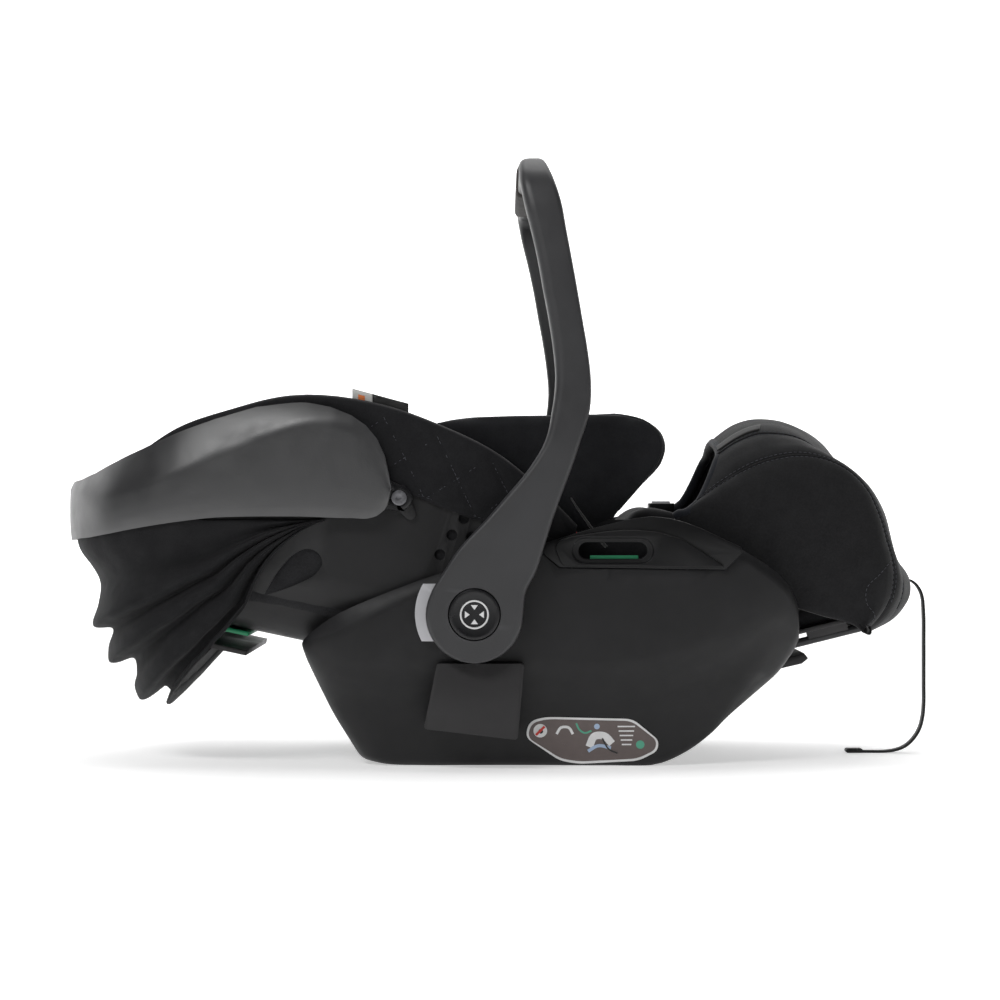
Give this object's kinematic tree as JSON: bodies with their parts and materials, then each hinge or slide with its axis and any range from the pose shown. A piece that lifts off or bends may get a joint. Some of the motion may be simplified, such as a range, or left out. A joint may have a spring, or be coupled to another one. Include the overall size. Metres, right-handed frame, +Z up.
{
  "type": "infant car seat",
  "caption": "Lie-flat infant car seat: boat-shaped base, reclining back with hood, sliding leg rest with padded boot, turning carry handle.",
  "frame": {"origin": "on the floor under the middle of the seat's length and width", "axes": "+X towards the feet, +Z up, Y across the seat"},
  "size_m": [0.827, 0.448, 0.5612],
  "materials": {
    "shell": "fine grained moulded plastic",
    "belt_guide": "fine grained moulded plastic",
    "handle": "satin moulded plastic",
    "visor": "satin grained plastic",
    "grip": "soft-touch",
    "button": "satin",
    "collar": "satin",
    "inner_plastic": "moulded",
    "steel": "zinc plated",
    "rods": "satin grey",
    "foam": "expanded foam",
    "cushion": "soft knit",
    "bolster": "smooth stretch knit",
    "rim_fabric": "quilted woven",
    "hood_cloth": "plain weave",
    "boot_cloth": "heathered woven",
    "webbing": "narrow webbing",
    "marker": "satin green",
    "label": "printed sticker",
    "tag": "printed ribbon",
    "red_button": "satin red",
    "feet": "moulded"
  },
  "bodies": {
    "base": {"base_shell": "shell", "seat_pan": "inner_plastic", "base_foam": "foam", "seat_cushion": "cushion", "hip_bolster_left": "bolster", "hip_bolster_right": "bolster", "belt_guide_left": "belt_guide", "belt_guide_right": "belt_guide", "belt_markers": "marker", "adapter_socket_left": "shell", "adapter_socket_right": "shell", "pivot_collar_left": "collar", "pivot_collar_right": "collar", "pivot_pins": "steel", "recline_pins": "steel", "leg_rest_guides": "inner_plastic", "lock_bars": "steel", "base_feet": "feet", "info_labels": "label", "cover_elastics": "webbing", "crotch_strap": "webbing", "buckle_housing": "inner_plastic", "adjuster_housing": "inner_plastic", "release_pivot": "steel", "button_springs": "steel"},
    "handle": {"handle_frame": "handle", "handle_grip": "grip"},
    "left_button": {"handle_button_left": "button", "lock_gear_left": "steel"},
    "right_button": {"handle_button_right": "button", "lock_gear_right": "steel"},
    "backrest": {"backrest_shell": "inner_plastic", "backrest_liner": "cushion", "back_pad": "cushion", "rim_cover": "rim_fabric", "rear_belt_guide": "inner_plastic", "rear_belt_marker": "marker", "shoulder_strap_left": "webbing", "shoulder_strap_right": "webbing", "care_tag": "tag", "hood_brackets": "inner_plastic", "harness_yoke": "steel", "hood_screws": "steel", "hood_fabric": "hood_cloth"},
    "headrest": {"headrest_shell": "inner_plastic", "headrest_pad": "cushion", "headrest_grip": "collar"},
    "hood": {"visor": "visor", "hood_arms": "inner_plastic"},
    "leg_rest": {"leg_rest_frame": "rods", "leg_rest_panel": "inner_plastic", "leg_rest_pad": "cushion", "foot_boot": "boot_cloth", "closure_tape": "webbing", "adjuster_strap": "webbing", "strap_end": "webbing"},
    "buckle_button": {"buckle_button": "red_button"},
    "adjuster_button": {"adjuster_button": "collar"},
    "release_lever": {"release_lever": "inner_plastic"}
  },
  "joints": [
    {"name": "handle_turn", "type": "hinge", "parent": "base", "child": "handle", "pos_m": [-0.013, 0, 0.142], "axis": [0, 1, 0], "range_deg": [-60, 45]},
    {"name": "left_button_press", "type": "slide", "parent": "handle", "child": "left_button", "axis": [0, 1, 0], "range_m": [0, 0.005], "stiffness_N_per_m": 800},
    {"name": "right_button_press", "type": "slide", "parent": "handle", "child": "right_button", "axis": [0, -1, 0], "range_m": [0, 0.005], "stiffness_N_per_m": 800},
    {"name": "backrest_recline", "type": "hinge", "parent": "base", "child": "backrest", "pos_m": [0.04, 0, 0.15], "axis": [0, 1, 0], "range_deg": [0, 30]},
    {"name": "headrest_height", "type": "slide", "parent": "backrest", "child": "headrest", "axis": [-0.9781, 0, 0.2079], "range_m": [0, 0.045]},
    {"name": "hood_turn", "type": "hinge", "parent": "backrest", "child": "hood", "pos_m": [-0.082, 0, 0.247], "axis": [0, 1, 0], "range_deg": [0, 50]},
    {"name": "leg_rest_slide", "type": "slide", "parent": "base", "child": "leg_rest", "axis": [0.9703, 0, 0.2419], "range_m": [-0.035, 0]},
    {"name": "buckle_release", "type": "slide", "parent": "base", "child": "buckle_button", "axis": [-0.766, 0, -0.6428], "range_m": [0, 0.003], "stiffness_N_per_m": 800},
    {"name": "adjuster_press", "type": "slide", "parent": "base", "child": "adjuster_button", "axis": [0, 0, -1], "range_m": [0, 0.003], "stiffness_N_per_m": 800},
    {"name": "release_lever_pull", "type": "hinge", "parent": "base", "child": "release_lever", "pos_m": [0.252, 0, 0.086], "axis": [0, 1, 0], "range_deg": [-10, 0], "stiffness_Nm_per_rad": 0.5}
  ],
  "couplings": [
    {"joint": "leg_rest_slide", "follows": "backrest_recline", "m_per_rad": -0.066845}
  ]
}
